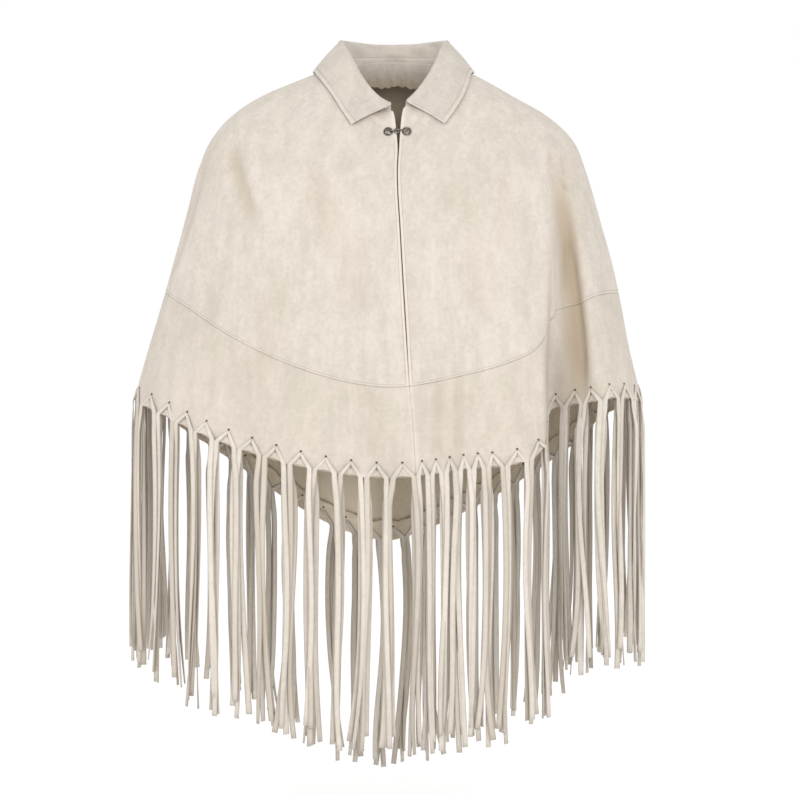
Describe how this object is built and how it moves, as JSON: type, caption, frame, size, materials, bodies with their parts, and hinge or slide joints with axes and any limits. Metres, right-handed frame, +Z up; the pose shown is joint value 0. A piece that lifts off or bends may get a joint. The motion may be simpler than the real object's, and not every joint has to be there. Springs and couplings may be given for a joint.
{
  "type": "suede poncho with a laced fringe",
  "caption": "Worn, hollow suede poncho with a pointed collar, a short front slit closed by a metal hook and eye, a curved body seam and a long fringe laced along the hem",
  "frame": {"origin": "the centre of the neck opening, level with the collar seam on the shoulders, where the wearer's neck and shoulders hold the poncho", "axes": "+Z up, from the hem to the collar; the front faces -Y; +X runs to the right of someone looking at the front, towards the wearer's left arm"},
  "size_m": [0.7216, 0.3863, 1.0571],
  "materials": {
    "suede": "pale cream suede with a soft, mottled nap",
    "lace": "flat cut strips of the same suede",
    "metal": "aged silver, worn bright on the edges"
  },
  "bodies": {
    "root": {"upper_front_left": "suede", "upper_front_right": "suede", "upper_back": "suede", "band_front_left": "suede", "band_front_right": "suede", "band_back": "suede", "collar": "suede", "clasp_eye": "metal", "clasp_hook": "metal", "fringe_front_left": "lace", "fringe_side_left": "lace", "fringe_back_left": "lace", "fringe_back_right": "lace", "fringe_side_right": "lace", "fringe_front_right": "lace"}
  },
  "joints": []
}
